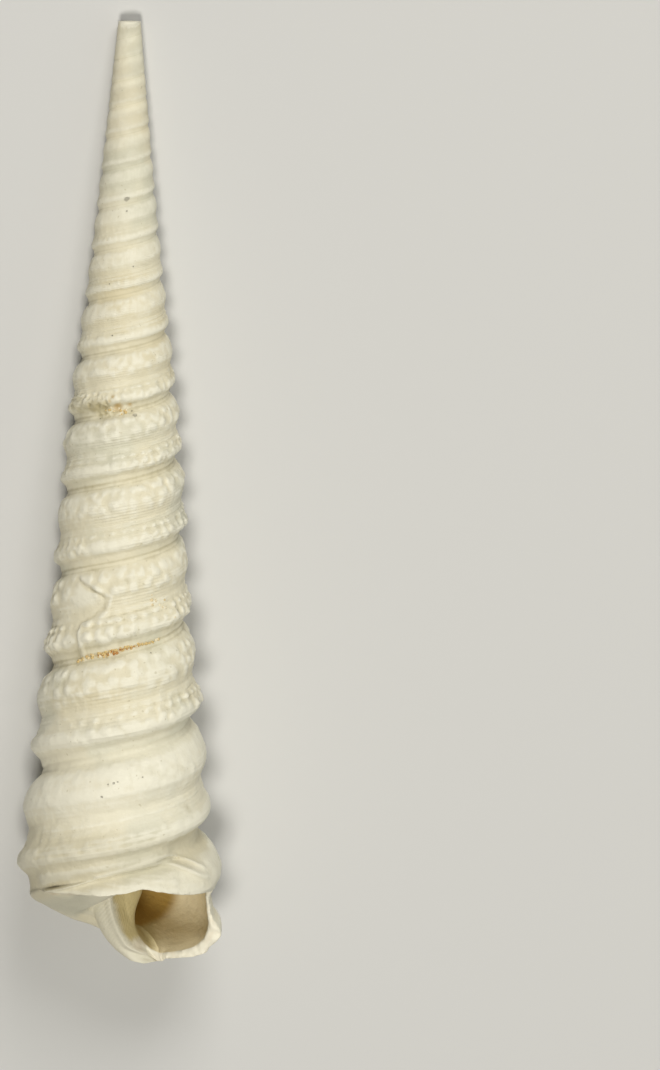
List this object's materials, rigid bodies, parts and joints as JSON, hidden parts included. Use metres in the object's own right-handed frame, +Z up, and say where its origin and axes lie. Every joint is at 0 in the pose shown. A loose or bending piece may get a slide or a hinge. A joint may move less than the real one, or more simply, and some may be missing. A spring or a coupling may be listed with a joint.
{
  "type": "turritella fossil",
  "caption": "Tall, slender fossil sea-snail shell, coiled to the right, broken at the tip and at the mouth, lying on its side as a display piece.",
  "frame": {"origin": "middle of the flat spot worn under the keel of the last turn, on the surface that the shell lies on", "axes": "+Z up, with the mouth looking up; +Y along the shell towards the tip; +X to the right of the mouth, so that the turns wind down to the right"},
  "size_m": [0.0134, 0.0611, 0.013],
  "materials": {
    "chalky_shell": "matte cream aragonite shell with a faint satin sheen, tan in the seams"
  },
  "bodies": {
    "root": {"turritella_shell": "chalky_shell"}
  },
  "joints": []
}
